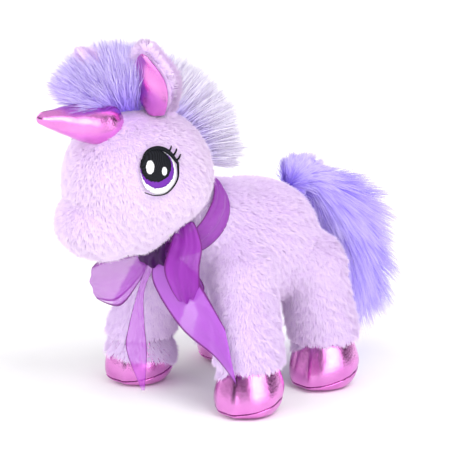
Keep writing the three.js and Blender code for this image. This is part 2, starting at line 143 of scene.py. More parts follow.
class Nodes:
    """The node tree of a new material or of the world, with short calls to add and link nodes."""

    def __init__(self, name, world=None):
        self.material = world or bpy.data.materials.new(name)
        self.material.use_nodes = True
        self.tree = self.material.node_tree
        self.shader = self.tree.nodes.get("Principled BSDF")

    def add(self, kind, **settings):
        node = self.tree.nodes.new(f"ShaderNode{kind}")
        for key, value in settings.items():
            if key in node.inputs:
                node.inputs[key].default_value = value
            else:
                setattr(node, key, value)
        return node

    def link(self, source, target):
        self.tree.links.new(source, target)

    def set(self, **values):
        for key, value in values.items():
            self.shader.inputs[key.replace("_", " ")].default_value = value

    def ramp(self, source, stops):
        node = self.add("ValToRGB")
        elements = node.color_ramp.elements
        while len(elements) < len(stops):
            elements.new(0.5)
        for element, (place, colour) in zip(elements, stops):
            element.position = place
            element.color = colour
        self.link(source, node.inputs["Fac"])
        return node.outputs["Color"]

    def mix(self, factor, first, second, blend="MIX"):
        node = self.add("Mix", data_type="RGBA", blend_type=blend)
        for value, socket in ((factor, node.inputs[0]), (first, node.inputs[6]), (second, node.inputs[7])):
            if isinstance(value, bpy.types.NodeSocket):
                self.link(value, socket)
            else:
                socket.default_value = value
        return node.outputs[2]

    def split(self, source):
        """The parts of a vector, as outputs named X, Y and Z."""
        node = self.add("SeparateXYZ")
        self.link(source, node.inputs["Vector"])
        return node.outputs

    def noise(self, scale, detail=3, roughness=0.5, stretch=(1, 1, 1)):
        place = self.add("TexCoord").outputs["Object"]
        mapping = self.add("Mapping", Scale=stretch)
        self.link(place, mapping.inputs["Vector"])
        node = self.add("TexNoise", Scale=scale, Detail=detail, Roughness=roughness)
        self.link(mapping.outputs["Vector"], node.inputs["Vector"])
        return node.outputs["Fac"]

    def bump(self, height, strength, distance, below=None):
        node = self.add("Bump", Strength=strength, Distance=distance)
        self.link(height, node.inputs["Height"])
        if below is not None:
            self.link(below, node.inputs["Normal"])
        return node.outputs["Normal"]


def pile_material(name, root, middle, tip, deep, sheen, sheen_tint=None):
    """Pile whose colour runs from root to tip along V, and varies from tuft to tuft along U."""
    nodes = Nodes(name)
    place = nodes.split(nodes.add("UVMap", uv_map=UV_NAME).outputs["UV"])
    along = nodes.ramp(place["Y"], [(0.0, srgb(*root)), (0.45, srgb(*middle)), (1.0, srgb(*tip))])
    tuft = nodes.ramp(place["X"], [(0.0, (*deep, 1)), (0.5, (1, 1, 1, 1)), (1.0, (1, 1, 1, 1))])
    nodes.link(nodes.mix(1.0, along, tuft, "MULTIPLY"), nodes.shader.inputs["Base Color"])
    nodes.set(Roughness=0.85, Sheen_Weight=sheen, Sheen_Roughness=0.5, Specular_IOR_Level=0.12,
              Sheen_Tint=srgb(*(sheen_tint or tip)))
    return nodes.material


def backing_material(name, light, deep):
    """The knitted backing that the pile stands in."""
    nodes = Nodes(name)
    mottle = nodes.ramp(nodes.noise(260, 4), [(0.3, deep), (0.7, light)])
    nodes.link(mottle, nodes.shader.inputs["Base Color"])
    knit = nodes.noise(1500, 2, stretch=(1, 1, 0.4))
    nodes.link(nodes.bump(knit, 0.5, 0.0006), nodes.shader.inputs["Normal"])
    nodes.set(Roughness=0.95, Sheen_Weight=0.4, Specular_IOR_Level=0.1)
    return nodes.material


def foil_material():
    """Metallic foil laminated on cloth: a clear mirror broken by fine crinkles and a faint weave."""
    nodes = Nodes("pink_foil")
    # The foil's colour varies at random in darker and lighter patches.
    foil_patches = nodes.ramp(nodes.noise(70, 3), [(0.3, srgb(218, 128, 206)), (0.6, srgb(232, 146, 220)),
                                           (0.8, srgb(240, 164, 230))])
    nodes.link(foil_patches, nodes.shader.inputs["Base Color"])
    crinkle = nodes.noise(520, 6, 0.7)
    soft = nodes.bump(nodes.noise(90, 3), 0.10, 0.002)
    fine = nodes.bump(crinkle, 0.34, 0.0006, soft)
    nodes.link(nodes.bump(nodes.noise(2600, 2), 0.05, 0.0002, fine), nodes.shader.inputs["Normal"])
    spread = nodes.add("MapRange", **{"To Min": 0.09, "To Max": 0.26})
    nodes.link(crinkle, spread.inputs["Value"])
    nodes.link(spread.outputs["Result"], nodes.shader.inputs["Roughness"])
    nodes.set(Metallic=1.0)
    return nodes.material


def thread_material(name, colour, dark, slant=0.0):
    """Satin embroidery: close parallel stitches that catch the light."""
    nodes = Nodes(name)
    place = nodes.add("TexCoord").outputs["Object"]
    mapping = nodes.add("Mapping", Rotation=(0.3, slant, 0.8))
    nodes.link(place, mapping.inputs["Vector"])
    wave = nodes.add("TexWave", Scale=760, Distortion=2.0, Detail=2)
    nodes.link(mapping.outputs["Vector"], wave.inputs["Vector"])
    # The darker colour lies in the hollows between the stitches, where the same waves sink the bump: painted
    # shade.
    shade = nodes.ramp(wave.outputs["Fac"], [(0.1, dark), (0.6, colour)])
    nodes.link(shade, nodes.shader.inputs["Base Color"])
    nodes.link(nodes.bump(wave.outputs["Fac"], 0.4, 0.0002), nodes.shader.inputs["Normal"])
    nodes.set(Roughness=0.6, Specular_IOR_Level=0.15)
    return nodes.material


def ribbon_material(name, cover, body, edge):
    """Sheer organza: see-through between its fine threads, with a close dark selvedge at each edge.
    cover is the share of the light that the cloth stops."""
    nodes = Nodes(name)
    place = nodes.split(nodes.add("UVMap", uv_map=UV_NAME).outputs["UV"])

    def across(selvedge, cloth):
        return nodes.ramp(place["X"], [(0.0, selvedge), (0.035, selvedge), (0.06, cloth), (0.94, cloth),
                                       (0.965, selvedge), (1.0, selvedge)])

    nodes.link(across(edge, body), nodes.shader.inputs["Base Color"])
    nodes.link(across((0.95, 0.95, 0.95, 1), (cover, cover, cover, 1)), nodes.shader.inputs["Alpha"])
    threads = nodes.noise(900, 2, stretch=(1, 1, 3))
    nodes.link(nodes.bump(threads, 0.25, 0.0003), nodes.shader.inputs["Normal"])
    nodes.set(Roughness=0.38, Sheen_Weight=0.25, Sheen_Tint=body, Specular_IOR_Level=0.3)
    return nodes.material


def fibre_material():
    nodes = Nodes("polyester_fibre")
    strands = nodes.ramp(nodes.noise(500, 6, 0.7), [(0.3, srgb(222, 220, 214)), (0.7, srgb(250, 249, 246))])
    nodes.link(strands, nodes.shader.inputs["Base Color"])
    nodes.link(nodes.bump(nodes.noise(700, 5), 0.7, 0.001), nodes.shader.inputs["Normal"])
    nodes.set(Roughness=1.0, Sheen_Weight=0.3)
    return nodes.material


plush_pile = pile_material("plush_pile", (218, 188, 239), (234, 209, 248), (244, 225, 253),
                           (0.96, 0.92, 0.98), 0.35)
head_plush = pile_material("head_plush_pile", (224, 195, 241), (242, 220, 251), (250, 235, 254),
                           (0.96, 0.93, 0.98), 0.35)
hair_pile = pile_material("long_pile", (156, 124, 244), (204, 183, 254), (238, 229, 255),
                          (0.9, 0.86, 1.0), 1.0, (196, 168, 255))
# The tail pile is its own bluer purple, darkened further, with deeper tufts, as painted shade among its
# strands, which cast no shadows.
tail_pile = pile_material("tail_pile", (126, 102, 216), (178, 158, 243), (220, 208, 252),
                          (0.8, 0.76, 0.95), 0.4, (196, 168, 255))
mane_pile = pile_material("mane_pile", (208, 190, 254), (246, 240, 255), (255, 253, 255),
                          (0.93, 0.9, 1.0), 0.8, (222, 204, 255))
plush_backing = backing_material("plush_backing", srgb(240, 218, 250), srgb(224, 196, 242))
hair_backing = backing_material("hair_backing", srgb(170, 150, 238), srgb(140, 116, 222))
foil = foil_material()
VIOLET, PLUM, DEEP_PLUM = srgb(168, 58, 192), srgb(104, 20, 114), srgb(58, 0, 76)
organza = ribbon_material("organza", 0.5, VIOLET, PLUM)
loose_organza = ribbon_material("loose_organza", 0.82, srgb(168, 80, 198), PLUM)
# The folded and gathered copies of the organza, the gathered one in deep plum, are darker and stop more
# light: partly the real depth of cloth lying in layers, partly painted shade in the folds of the band and the
# near loop and in the knot.
folded_shaded_organza = ribbon_material("folded_shaded_organza", 0.74, srgb(148, 46, 172), PLUM)
gathered_shaded_organza = ribbon_material("gathered_shaded_organza", 0.93, DEEP_PLUM, DEEP_PLUM)
fibre = fibre_material()
# Each thread's second, darker colour is painted shade in the hollows between its stitches.
white_thread = thread_material("white_thread", srgb(250, 250, 250), srgb(214, 212, 222))
black_thread = thread_material("black_thread", srgb(26, 28, 34), srgb(4, 5, 8), 0.5)
violet_thread = thread_material("violet_thread", srgb(126, 58, 178), srgb(86, 34, 134), 1.0)
stitch_thread = thread_material("seam_thread", srgb(120, 50, 120), srgb(70, 20, 80))


# ------------------------------------------------------------------ meshes
def new_piece(name, vertices, faces, material, uvs=None, smooth=True):
    """A mesh object from points in millimetres; faces is a list of equal-length index arrays."""
    mesh = bpy.data.meshes.new(name)
    vertices = np.asarray(vertices, float) * MM
    groups = [np.asarray(group, np.int32) for group in faces if len(group)]
    corners = np.concatenate([group.ravel() for group in groups])
    sizes = np.concatenate([np.full(len(group), group.shape[1], np.int32) for group in groups])
    starts = np.concatenate([[0], np.cumsum(sizes)[:-1]]).astype(np.int32)
    mesh.vertices.add(len(vertices))
    mesh.vertices.foreach_set("co", vertices.astype(np.float32).ravel())
    mesh.loops.add(len(corners))
    mesh.loops.foreach_set("vertex_index", corners)
    mesh.polygons.add(len(sizes))
    mesh.polygons.foreach_set("loop_start", starts)
    mesh.update(calc_edges=True)
    mesh.polygons.foreach_set("use_smooth", np.full(len(sizes), smooth))
    if uvs is not None:
        layer = mesh.uv_layers.new(name=UV_NAME)
        layer.data.foreach_set("uv", np.asarray(uvs, np.float32)[corners].ravel())
    mesh.materials.append(material)
    piece = bpy.data.objects.new(name, mesh)
    bpy.context.scene.collection.objects.link(piece)
    return piece


def declare(piece, body, replaced=()):
    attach(piece, body)
    if replaced:
        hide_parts(*replaced)
    return piece


def add_modifier(piece, kind, **settings):
    modifier = piece.modifiers.new(kind.lower(), kind)
    for key, value in settings.items():
        setattr(modifier, key, value)


def apply_modifiers(piece):
    evaluated = piece.evaluated_get(bpy.context.evaluated_depsgraph_get())
    old = piece.data
    mesh = bpy.data.meshes.new_from_object(evaluated)
    piece.modifiers.clear()
    piece.data = mesh
    mesh.name = piece.name
    bpy.data.meshes.remove(old)
    mesh.polygons.foreach_set("use_smooth", np.full(len(mesh.polygons), True))
    mesh.update()


def positions(piece):
    co = np.zeros(len(piece.data.vertices) * 3, np.float32)
    piece.data.vertices.foreach_get("co", co)
    return co.reshape(-1, 3) / MM


def move_vertices(piece, points):
    piece.data.vertices.foreach_set("co", (np.asarray(points) * MM).astype(np.float32).ravel())
    piece.data.update()


def unit(vectors):
    length = np.linalg.norm(vectors, axis=-1, keepdims=True)
    return vectors / np.maximum(length, 1e-9)


def smoothstep(low, high, value):
    t = np.clip((value - low) / (high - low), 0, 1)
    return t * t * (3 - 2 * t)


def soft_noise(points, wavelength, seed, waves=9):
    """A smooth random field over points and its gradient: a sum of waves in random directions."""
    random = np.random.default_rng(seed)
    value = np.zeros(len(points))
    slope = np.zeros((len(points), 3))
    for _ in range(waves):
        direction = unit(random.normal(size=3))
        frequency = 2 * math.pi / (wavelength * random.uniform(0.7, 1.4))
        phase = points @ direction * frequency + random.uniform(0, 2 * math.pi)
        value += np.sin(phase)
        slope += np.cos(phase)[:, None] * direction * frequency
    scale = math.sqrt(waves / 2)
    return value / scale, slope / scale


def loft(rings):
    """Vertices and faces of a closed surface through equal rings of points."""
    count = len(rings[0])
    vertices = np.concatenate([*rings, [np.mean(rings[0], 0)], [np.mean(rings[-1], 0)]])
    here = np.arange(count)
    beside = (here + 1) % count
    quads = [np.stack([i * count + here, i * count + beside, (i + 1) * count + beside,
                       (i + 1) * count + here], 1) for i in range(len(rings) - 1)]
    first, last = len(rings) * count, len(rings) * count + 1
    end = (len(rings) - 1) * count
    caps = np.concatenate([np.stack([np.full(count, first), beside, here], 1),
                           np.stack([np.full(count, last), end + here, end + beside], 1)])
    return vertices, [np.concatenate(quads), caps]


def ring(centre, across, along, sides=48):
    angle = np.linspace(0, 2 * math.pi, sides, endpoint=False)[:, None]
    return np.asarray(centre) + np.cos(angle) * np.asarray(across) + np.sin(angle) * np.asarray(along)


def smooth_path(points, count):
    """Points at equal parameter steps on a Catmull-Rom curve through the given points."""
    points = np.asarray(points, float)
    padded = np.concatenate([[2 * points[0] - points[1]], points, [2 * points[-1] - points[-2]]])
    place = np.linspace(0, len(points) - 1, count)
    index = np.minimum(place.astype(int), len(points) - 2)
    t = (place - index)[:, None]
    a, b, c, d = (padded[index + k] for k in range(4))
    return 0.5 * (2 * b + (c - a) * t + (2 * a - 5 * b + 4 * c - d) * t**2 + (3 * b - a - 3 * c + d) * t**3)


# ------------------------------------------------------------------ smooth stuffed skins
def ball_parts(centre, size):
    mesh = bmesh.new()
    matrix = Matrix.Translation(Vector(centre)) @ Matrix.Diagonal((*size, 1))
    bmesh.ops.create_icosphere(mesh, subdivisions=4, radius=1, matrix=matrix)
    vertices = np.array([v.co[:] for v in mesh.verts])
    faces = np.array([[v.index for v in f.verts] for f in mesh.faces])
    mesh.free()
    return vertices, [faces]


def stuffed_skin(name, parts, material, smoothing=14):
    """One smooth skin round several overlapping closed shapes."""
    vertices, faces, offset = [], {}, 0
    for part_vertices, part_faces in parts:
        for group in part_faces:
            faces.setdefault(group.shape[1], []).append(group + offset)
        vertices.append(part_vertices)
        offset += len(part_vertices)
    skin = new_piece(name, np.concatenate(vertices), [np.concatenate(g) for g in faces.values()], material)
    add_modifier(skin, "REMESH", mode="VOXEL", voxel_size=2 * MM)
    add_modifier(skin, "SMOOTH", factor=0.6, iterations=smoothing)
    apply_modifiers(skin)
    return skin


def tree_of(piece):
    return BVHTree.FromPolygons([v.co[:] for v in piece.data.vertices],
                                [p.vertices[:] for p in piece.data.polygons])


def depth_inside(points, tree):
    """How far each point, in millimetres, lies inside a closed skin; negative outside."""
    depth = np.empty(len(points))
    for i, point in enumerate(points * MM):
        place, normal, _, distance = tree.find_nearest(Vector(point))
        depth[i] = -math.copysign(distance, (Vector(point) - place).dot(normal)) / MM
    return depth


# ------------------------------------------------------------------ pile
def scatter(skin, per_square_mm, random):
    """Random places on a skin, with their normals."""
    mesh = skin.data
    mesh.calc_loop_triangles()
    triangles = np.zeros(len(mesh.loop_triangles) * 3, np.int32)
    mesh.loop_triangles.foreach_get("vertices", triangles)
    triangles = triangles.reshape(-1, 3)
    co = positions(skin)
    normals = np.zeros(len(mesh.vertices) * 3, np.float32)
    mesh.vertices.foreach_get("normal", normals)
    normals = normals.reshape(-1, 3)
    a, b, c = (co[triangles[:, k]] for k in range(3))
    area = 0.5 * np.linalg.norm(np.cross(b - a, c - a), axis=1)
    count = int(area.sum() * per_square_mm)
    picked = random.choice(len(area), count, p=area / area.sum())
    weights = random.dirichlet((1, 1, 1), count)
    corners = triangles[picked]
    places = sum(co[corners[:, k]] * weights[:, k:k + 1] for k in range(3))
    facing = unit(sum(normals[corners[:, k]] * weights[:, k:k + 1] for k in range(3)))
    return places, facing


def pile_mesh(name, roots, facing, spines, widths, tones, material, softness=0.8):
    """Blades of pile. spines is a list of arrays of points, root first and tip last, one per step."""
    count, steps = len(roots), len(spines)
    travel = unit(spines[-1] - spines[0])
    side = unit(np.cross(travel, facing) + 1e-4)
    vertices, heights = [], []
    for i, spine in enumerate(spines[:-1]):
        half = side * (widths * (1 - 0.55 * i / (steps - 1)) / 2)[:, None]
        vertices += [spine - half, spine + half]
        heights += [i / (steps - 1)] * 2
    vertices.append(spines[-1])
    heights.append(1.0)
    per = len(vertices)
    stacked = np.stack(vertices, 1).reshape(-1, 3)
    base = (np.arange(count) * per)[:, None]
    quads = [base + np.array([2 * i, 2 * i + 1, 2 * i + 3, 2 * i + 2]) for i in range(steps - 2)]
    tips = base + np.array([2 * steps - 4, 2 * steps - 3, 2 * steps - 2])
    uvs = np.stack([np.repeat(tones, per), np.tile(heights, count)], 1)
    piece = new_piece(name, stacked, [*([np.concatenate(quads)] if quads else []), tips], material, uvs)
    flat = unit(np.cross(side, travel))
    flat *= np.sign(np.sum(flat * facing, 1, keepdims=True)) + 1e-6
    shading = unit(facing * softness + flat * (1 - softness))
    piece.data.normals_split_custom_set_from_vertices(np.repeat(shading, per, 0).astype(np.float32))
    return piece


def short_pile(name, skin, length, lean, comb, seed, hidden_by=(), keep=None, material=plush_pile,
               per_square_mm=PILE_PER_SQUARE_MM, tuft=6.0):
    """Short combed pile over a skin. length is a number or a function of place, lean the angle from
    upright in degrees and comb the direction it lies in. Pile does not grow inside the hidden_by skins."""
    random = np.random.default_rng(seed)
    roots, facing = scatter(skin, per_square_mm, random)
    shown = np.ones(len(roots), bool)
    if keep is not None:
        shown &= random.random(len(roots)) < keep(roots, facing)
    for tree in hidden_by:
        shown[shown] &= depth_inside(roots[shown], tree) < 1.2
    roots, facing = roots[shown], facing[shown]
    count = len(roots)
    tangent = comb(roots, facing)
    tangent = tangent - facing * np.sum(tangent * facing, 1, keepdims=True)
    value, slope = soft_noise(roots, tuft, seed)
    slope = slope - facing * np.sum(slope * facing, 1, keepdims=True)
    tangent = unit(unit(tangent) + slope * tuft * 0.036 + random.normal(size=(count, 3)) * 0.2)
    angle = np.radians(lean + random.normal(size=count) * 6 - value * 3)[:, None]
    length = length(roots) if callable(length) else length
    reach = (length * (1 + value * 0.07) * random.uniform(0.75, 1.15, count))[:, None]
    rise = unit(facing * np.cos(angle * 0.8) + tangent * np.sin(angle * 0.8))
    bend = unit(facing * np.cos(angle * 1.15) + tangent * np.sin(angle * 1.15))
    start = roots - facing * 0.4
    middle = start + rise * reach * 0.5
    spines = [start, middle, middle + bend * reach * 0.5]
    widths = PILE_WIDTH * random.uniform(0.7, 1.25, count)
    tones = np.clip(0.5 + value * 0.18 + random.normal(size=count) * 0.14, 0.02, 0.98)
    return pile_mesh(name, roots, facing, spines, widths, tones, material)


def long_pile(name, roots, headings, lengths, droop, seed, tufts, material, gather, width, facing=None,
              steps=5):
    """Long strands gathered into tufts: each strand leans to the strand at the middle of its tuft."""
    random = np.random.default_rng(seed)
    count = len(roots)
    headings = unit(headings)
    leaders = random.choice(count, tufts, replace=False)
    tree = kdtree.KDTree(tufts)
    places = roots + headings * 14  # strands of one tuft are near each other here
    for i, leader in enumerate(leaders):
        tree.insert(Vector(places[leader]), i)
    tree.balance()
    chosen = np.array([leaders[tree.find(Vector(place))[1]] for place in places])
    wobble, _ = soft_noise(roots * 3, 11, seed + 1)
    wave = unit(np.cross(headings, [0.3, 0.1, 1.0]))
    own, spines = [], []
    for i in range(steps):
        t = i / (steps - 1)
        own.append(roots + headings * lengths[:, None] * t + droop * (lengths * t * t)[:, None]
                   + wave * (np.sin(t * 3.0 + wobble * 2) * lengths * 0.05 * t)[:, None])
    strength = gather * random.uniform(0.55, 1.1, count)
    for i, line in enumerate(own):
        t = i / (steps - 1)
        pull = np.clip(strength * t**1.4, 0, 0.95)[:, None]
        spines.append(line + (line[chosen] - line) * pull)
    facing = unit(headings + random.normal(size=(count, 3)) * 0.3) if facing is None else facing
    sideways = unit(np.cross(headings, random.normal(size=(count, 3))))
    turned = unit(facing + sideways * 0.25)
    tones = np.clip(0.5 + wobble * 0.2 + random.normal(size=count) * 0.16, 0.02, 0.98)
    widths = width * random.uniform(0.6, 1.2, count)
    hair = pile_mesh(name, roots, turned, spines, widths, tones, material, softness=0.85)
    hair.visible_shadow = False  # fine hair lets light through
    return hair


# ------------------------------------------------------------------ camera, floor and light
def build_stage():
    scene = bpy.context.scene
    scene.view_settings.view_transform = "Standard"
    camera = bpy.data.objects.new("camera", bpy.data.cameras.new("camera"))
    scene.collection.objects.link(camera)
    camera.data.lens = 800
    camera.data.sensor_width = 36
    field = 279 * MM                       # width of the view at the unicorn
    distance = field * camera.data.lens / camera.data.sensor_width
    azimuth, elevation = math.radians(45), math.radians(17)
    back = Vector((math.sin(azimuth) * math.cos(elevation), -math.cos(azimuth) * math.cos(elevation),
                   math.sin(elevation)))
    camera.location = Vector((0, 0, 104.9 * MM)) + back * distance
    camera.rotation_euler = back.to_track_quat("Z", "Y").to_euler()
    camera.data.clip_end = 50
    scene.camera = camera

    bpy.ops.mesh.primitive_plane_add(size=14)
    floor = bpy.context.object
    floor.name = "floor"
    paper = Nodes("white_paper")
    paper.set(Roughness=0.9, Specular_IOR_Level=0.1)
    grain = paper.ramp(paper.noise(40, 2), [(0.3, (0.93, 0.93, 0.935, 1)), (0.7, (0.95, 0.95, 0.95, 1))])
    paper.link(grain, paper.shader.inputs["Base Color"])
    floor.data.materials.append(paper.material)

    # Broad soft lights: their shadows on the floor fall softly to the unicorn's right.
    lights = (("key", (1.0, -0.2, 1.2), 1.45, 32), ("front", (-0.5, -1.4, 0.5), 1.25, 60),
              ("camera_side", (1.2, -1.3, 0.4), 0.8, 60))
    for name, place, strength, spread in lights:
        lamp = bpy.data.lights.new(name, "SUN")
        lamp.energy = strength
        lamp.angle = math.radians(spread)
        source = bpy.data.objects.new(name, lamp)
        source.rotation_euler = Vector(place).to_track_quat("Z", "Y").to_euler()
        source.visible_glossy = False
        scene.collection.objects.link(source)

    scene.world = bpy.data.worlds.new("studio")
    nodes = Nodes("studio", scene.world)
    background = nodes.tree.nodes["Background"]
    background.inputs["Color"].default_value = (1, 1, 1, 1)
    background.inputs["Strength"].default_value = 0.86

    # Shiny foil sees a dim room with white panels standing in it, under a white ceiling.
    def tinted(levels):
        return [(place, (level, level * 0.93, level, 1)) for place, level in levels]

    direction = nodes.split(nodes.add("TexCoord").outputs["Generated"])
    behind = nodes.add("Math", operation="MULTIPLY")
    behind.inputs[1].default_value = -1
    nodes.link(direction["Y"], behind.inputs[0])
    bearing = nodes.add("Math", operation="ARCTAN2")
    nodes.link(direction["X"], bearing.inputs[0])
    nodes.link(behind.outputs[0], bearing.inputs[1])
    turn = nodes.add("MapRange", **{"From Min": -math.pi, "From Max": math.pi})
    nodes.link(bearing.outputs[0], turn.inputs["Value"])
    # Each panel: where it starts and ends, in degrees from the front, and how bright it is.
    panels = ((-180, -120, 0.14), (-118, -84, 3.0), (-82, -26, 0.3), (-24, 22, 0.08), (24, 46, 0.3),
              (49, 100, 4.2), (103, 180, 0.1))
    stops = [(0.5 + edge / 360, level) for low, high, level in panels for edge in (low, high)]
    walls = nodes.ramp(turn.outputs["Result"], tinted(stops))
    height = nodes.ramp(direction["Z"], tinted([(0.0, 0.0), (0.42, 0.0), (0.62, 1.0), (1.0, 1.0)]))
    room = nodes.add("Background")
    nodes.link(nodes.mix(height, walls, (0.86, 0.82, 0.86, 1)), room.inputs["Color"])
    mixed = nodes.add("MixShader")
    nodes.link(nodes.add("LightPath").outputs["Is Glossy Ray"], mixed.inputs["Fac"])
    nodes.link(background.outputs[0], mixed.inputs[1])
    nodes.link(room.outputs[0], mixed.inputs[2])
    nodes.link(mixed.outputs[0], nodes.tree.nodes["World Output"].inputs["Surface"])


# ------------------------------------------------------------------ torso, head and legs
def hip_ball(leg):
    """The middle and the radius of a hip's roundness: at its pivot, or for the rear a little before it."""
    rear = leg.startswith("rear")
    return joint_place(f"leg_{leg}_swing") - [0, 2 if rear else 0, 0], HIP_RADIUS["rear" if rear else "front"]


def build_torso():
    size = TORSO_SIZE - PILE_INSET
    parts = [ball_parts(TORSO_AT, size), ball_parts(NECK, [NECK_RADIUS - PILE_INSET] * 3)]
    for leg in LEG_NAMES:
        hip, radius = hip_ball(leg)
        radius -= PILE_INSET
        parts.append(ball_parts(hip, [radius - 1.0] * 3))
        # The shoulder and the haunch slope in to the back.
        forward = 8 if leg.startswith("rear") else -2
        parts.append(ball_parts(hip * [0.72, 1, 1] + [0, -forward, 13], [radius * 0.83] * 3))
    between = (NECK + TORSO_AT) / 2
    parts.append(ball_parts(between + [0, 2, -2], [33, 34, 33]))
    skin = stuffed_skin("torso_skin", parts, plush_backing, smoothing=36)
    points = positions(skin)
    # The rump narrows to the tail above the thighs.
    behind = np.clip((points[:, 1] - TORSO_AT[1]) / TORSO_SIZE[1], 0, 1)
    points[:, 0] *= 1 - 0.26 * behind**2 * smoothstep(60, 88, points[:, 2])
    move_vertices(skin, points)
    return skin


def foot_place(leg):
    low, high = box_mm(f"hoof_{leg}")
    return (low + high) / 2


def leg_column(leg):
    """The tapering column from a hoof up to the hip, leaning out from under the body."""
    hip, hip_radius = hip_ball(leg)
    foot = foot_place(leg)
    rings = []
    for t in np.linspace(0, 1, 9):
        lean = t ** 1.25
        radius = ANKLE_RADIUS + (hip_radius * 0.92 - ANKLE_RADIUS) * t ** 1.3
        centre = foot * (1 - lean) + hip * lean
        centre[2] = LEG_FOOT + (hip[2] - LEG_FOOT) * t
        reach = radius - PILE_INSET + 0.4 - t * 1.4
        rings.append(ring(centre, [reach, 0, 0], [0, reach, 0]))
    return loft(rings)


def build_leg_skin(leg):
    hip, radius = hip_ball(leg)
    ball = ball_parts(hip, [radius - PILE_INSET - 2.2] * 3)
    return stuffed_skin(f"leg_skin_{leg}", [leg_column(leg), ball], plush_backing)


def build_head():
    parts = [ball_parts(SKULL_AT, SKULL_SIZE - PILE_INSET), ball_parts(MUZZLE_AT, MUZZLE_SIZE - PILE_INSET)]
    skin = stuffed_skin("head_skin", [(on_head(vertices), faces) for vertices, faces in parts], plush_backing)
    local = to_head(positions(skin))
    # The jaw rises towards the back of the cheeks, where the neck ribbon passes.
    below = np.minimum(local[:, 2] - SKULL_AT[2], 0)
    backward = np.abs(local[:, 0]) / SKULL_SIZE[0] + (local[:, 1] - SKULL_AT[1]) / SKULL_SIZE[1]
    local[:, 2] -= below * 0.27 * smoothstep(0.1, 0.95, backward)
    move_vertices(skin, on_head(local))
    return skin


def comb_down(places, facing):
    return np.tile([0.0, 0.2, -1.0], (len(places), 1))


def comb_torso(places, facing):
    """Down and back."""
    return np.tile([0.0, 0.5, -1.0], (len(places), 1))


def comb_head(places, facing):
    """Pile falls from the brow over the cheeks and the muzzle, and back along the jaw."""
    aside = 0.25 * np.tanh(to_head(places)[:, 0] / 15)
    return np.stack([aside, np.full(len(places), 0.42), np.full(len(places), -1.0)], 1) @ HEAD_TURN.T


def eye_distance(places):
    """Distance from the nearer eye's middle, in eye radii."""
    local = to_head(places)
    local[:, 0] = np.abs(local[:, 0])
    return np.linalg.norm((local - EYE_AT) / [14.0, 14.0, 17.5], axis=1)


build_stage()
torso_skin = build_torso()
head_skin = build_head()
leg_skins = {leg: build_leg_skin(leg) for leg in LEG_NAMES}
torso_tree, head_tree = tree_of(torso_skin), tree_of(head_skin)
leg_trees = {leg: tree_of(skin) for leg, skin in leg_skins.items()}

declare(torso_skin, "torso", ["body_cover"])
declare(head_skin, "head", ["head_cover"])
for leg, skin in leg_skins.items():
    declare(skin, f"leg_{leg}", [f"leg_cover_{leg}"])


def horn_distance(places):
    """Distance from the horn's middle line."""
    local = to_head(places)
    axis = unit(HORN_TIP - HORN_BASE)
    along = np.maximum((local - HORN_BASE) @ axis, -20)
    return np.linalg.norm(local - HORN_BASE - along[:, None] * axis, axis=1)


def head_pile_length(places):
    jaw = smoothstep(20, -10, to_head(places)[:, 2])
    return 4.2 + 0.8 * jaw - 1.9 * smoothstep(1.5, 1.0, eye_distance(places)) \
        - 1.6 * smoothstep(19, 12, horn_distance(places))


def clear_of_band(places, facing):
    """No pile under the neck ribbon, which presses it flat."""
    tilt = math.radians(BAND_TILT)
    offset = places - NECK - BAND_OFFSET
    aside = offset @ np.array([0, -math.sin(tilt), math.cos(tilt)])
    return (aside > 2.0) | (aside < -8.5) | (np.linalg.norm(offset, axis=1) > 34)


def clear_of_eyes(places, facing):
    return eye_distance(places) > 0.9


def clear_of_sole(places, facing):
    """No pile on the closed end of a leg's skin, inside its hoof."""
    return (facing[:, 2] > -0.55) | (places[:, 2] > LEG_FOOT + 8)


torso_pile = short_pile("torso_pile", torso_skin, BODY_PILE, BODY_LEAN, comb_torso, 11,
                        [head_tree, *leg_trees.values()], clear_of_band)
declare(torso_pile, "torso")
head_pile = short_pile("head_pile", head_skin, head_pile_length, HEAD_LEAN, comb_head, 12, [torso_tree],
                       clear_of_eyes, head_plush)
declare(head_pile, "head")
for number, (leg, skin) in enumerate(leg_skins.items()):
    pile = short_pile(f"leg_pile_{leg}", skin, LEG_PILE, BODY_LEAN, comb_down, 20 + number, [torso_tree],
                      clear_of_sole)
    declare(pile, f"leg_{leg}")


# ------------------------------------------------------------------ hooves
def hoof_rings(foot, profile, seed, sides=72):
    """Rings of a stuffed hoof: the seam lies low at the toe, under a pinched upright fold."""
    angle = np.linspace(0, 2 * math.pi, sides, endpoint=False)
    toe = -np.sin(angle)
    fold = np.exp(-((np.angle(np.exp(1j * (angle + math.radians(72)))) / 0.13) ** 2))
    beside = np.exp(-((np.angle(np.exp(1j * (angle + math.radians(72)))) / 0.42) ** 2))
    rings = []
    for height, radius, pinch in profile:
        slope = 1 - (height - HOOF_SEAM) / 26 if height > HOOF_SEAM else height / HOOF_SEAM
        heights = height - HOOF_SEAM_SLOPE * toe * slope
        reach = radius * (1 + pinch * (0.075 * fold - 0.02 * beside))
        points = np.stack([np.cos(angle) * reach, np.sin(angle) * reach, heights], 1)
        value, _ = soft_noise(points * [1, 1, 0.6], 17, seed)
        gathers = np.cos(angle * 13 + value * 1.5) * 0.25 * math.exp(-((height - HOOF_SEAM) / 3.5) ** 2)
        wrinkle = 0.2 * value * smoothstep(40, 14, height) + gathers
        points[:, :2] *= (1 + wrinkle / radius)[:, None]
        rings.append(points + [foot[0], foot[1], 0])
    return rings


